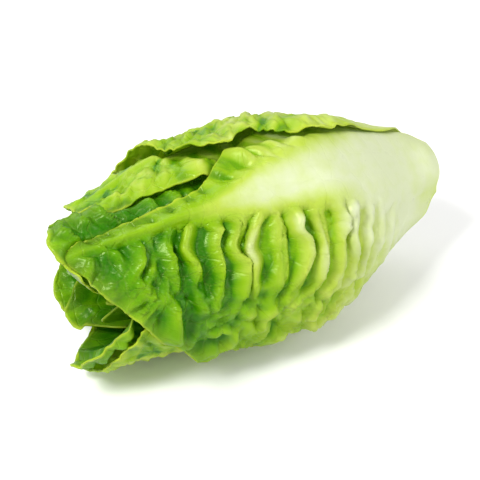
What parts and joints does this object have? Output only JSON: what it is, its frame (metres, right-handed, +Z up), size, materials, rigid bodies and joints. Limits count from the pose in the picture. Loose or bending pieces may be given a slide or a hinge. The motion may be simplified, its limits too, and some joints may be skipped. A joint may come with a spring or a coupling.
{
  "type": "romaine lettuce head",
  "caption": "Compact romaine lettuce head lying on its side: a pale cut stem core with separate leaves wrapped round it, smooth thick ribs and crinkled blades.",
  "frame": {"origin": "middle of the underside of the head's box, on the surface that the head lies on", "axes": "+X from the leaf tips to the cut butt, along the head; +Y away from the front wrapper leaf; +Z up"},
  "size_m": [0.187, 0.101, 0.0955],
  "materials": {
    "stem": "moist pale cream stem tissue, with a thin beige ring round the cut face",
    "heart_leaf": "thin soft leaf, pale yellow-green, lightly crinkled, satin",
    "middle_leaf": "thin crisp leaf, mid green with yellow-green veins, satin gloss",
    "wrapper_leaf": "thin crisp leaf, cream at the rib and foot, deep green and puckered towards the tip, waxy gloss"
  },
  "bodies": {
    "root": {"stem_core": "stem", "heart_leaf_1": "heart_leaf", "heart_leaf_2": "heart_leaf", "heart_leaf_3": "heart_leaf", "heart_leaf_4": "heart_leaf", "heart_leaf_5": "heart_leaf", "heart_leaf_6": "heart_leaf", "middle_leaf_1": "middle_leaf", "middle_leaf_2": "middle_leaf", "middle_leaf_3": "middle_leaf", "middle_leaf_4": "middle_leaf", "middle_leaf_5": "middle_leaf", "middle_leaf_6": "middle_leaf", "middle_leaf_7": "middle_leaf", "wrapper_leaf_front_low": "wrapper_leaf", "wrapper_leaf_back_low": "wrapper_leaf", "wrapper_leaf_top_inner": "wrapper_leaf", "wrapper_leaf_top_outer": "wrapper_leaf", "wrapper_leaf_under": "wrapper_leaf", "wrapper_leaf_front": "wrapper_leaf", "wrapper_leaf_back": "wrapper_leaf"}
  },
  "joints": []
}
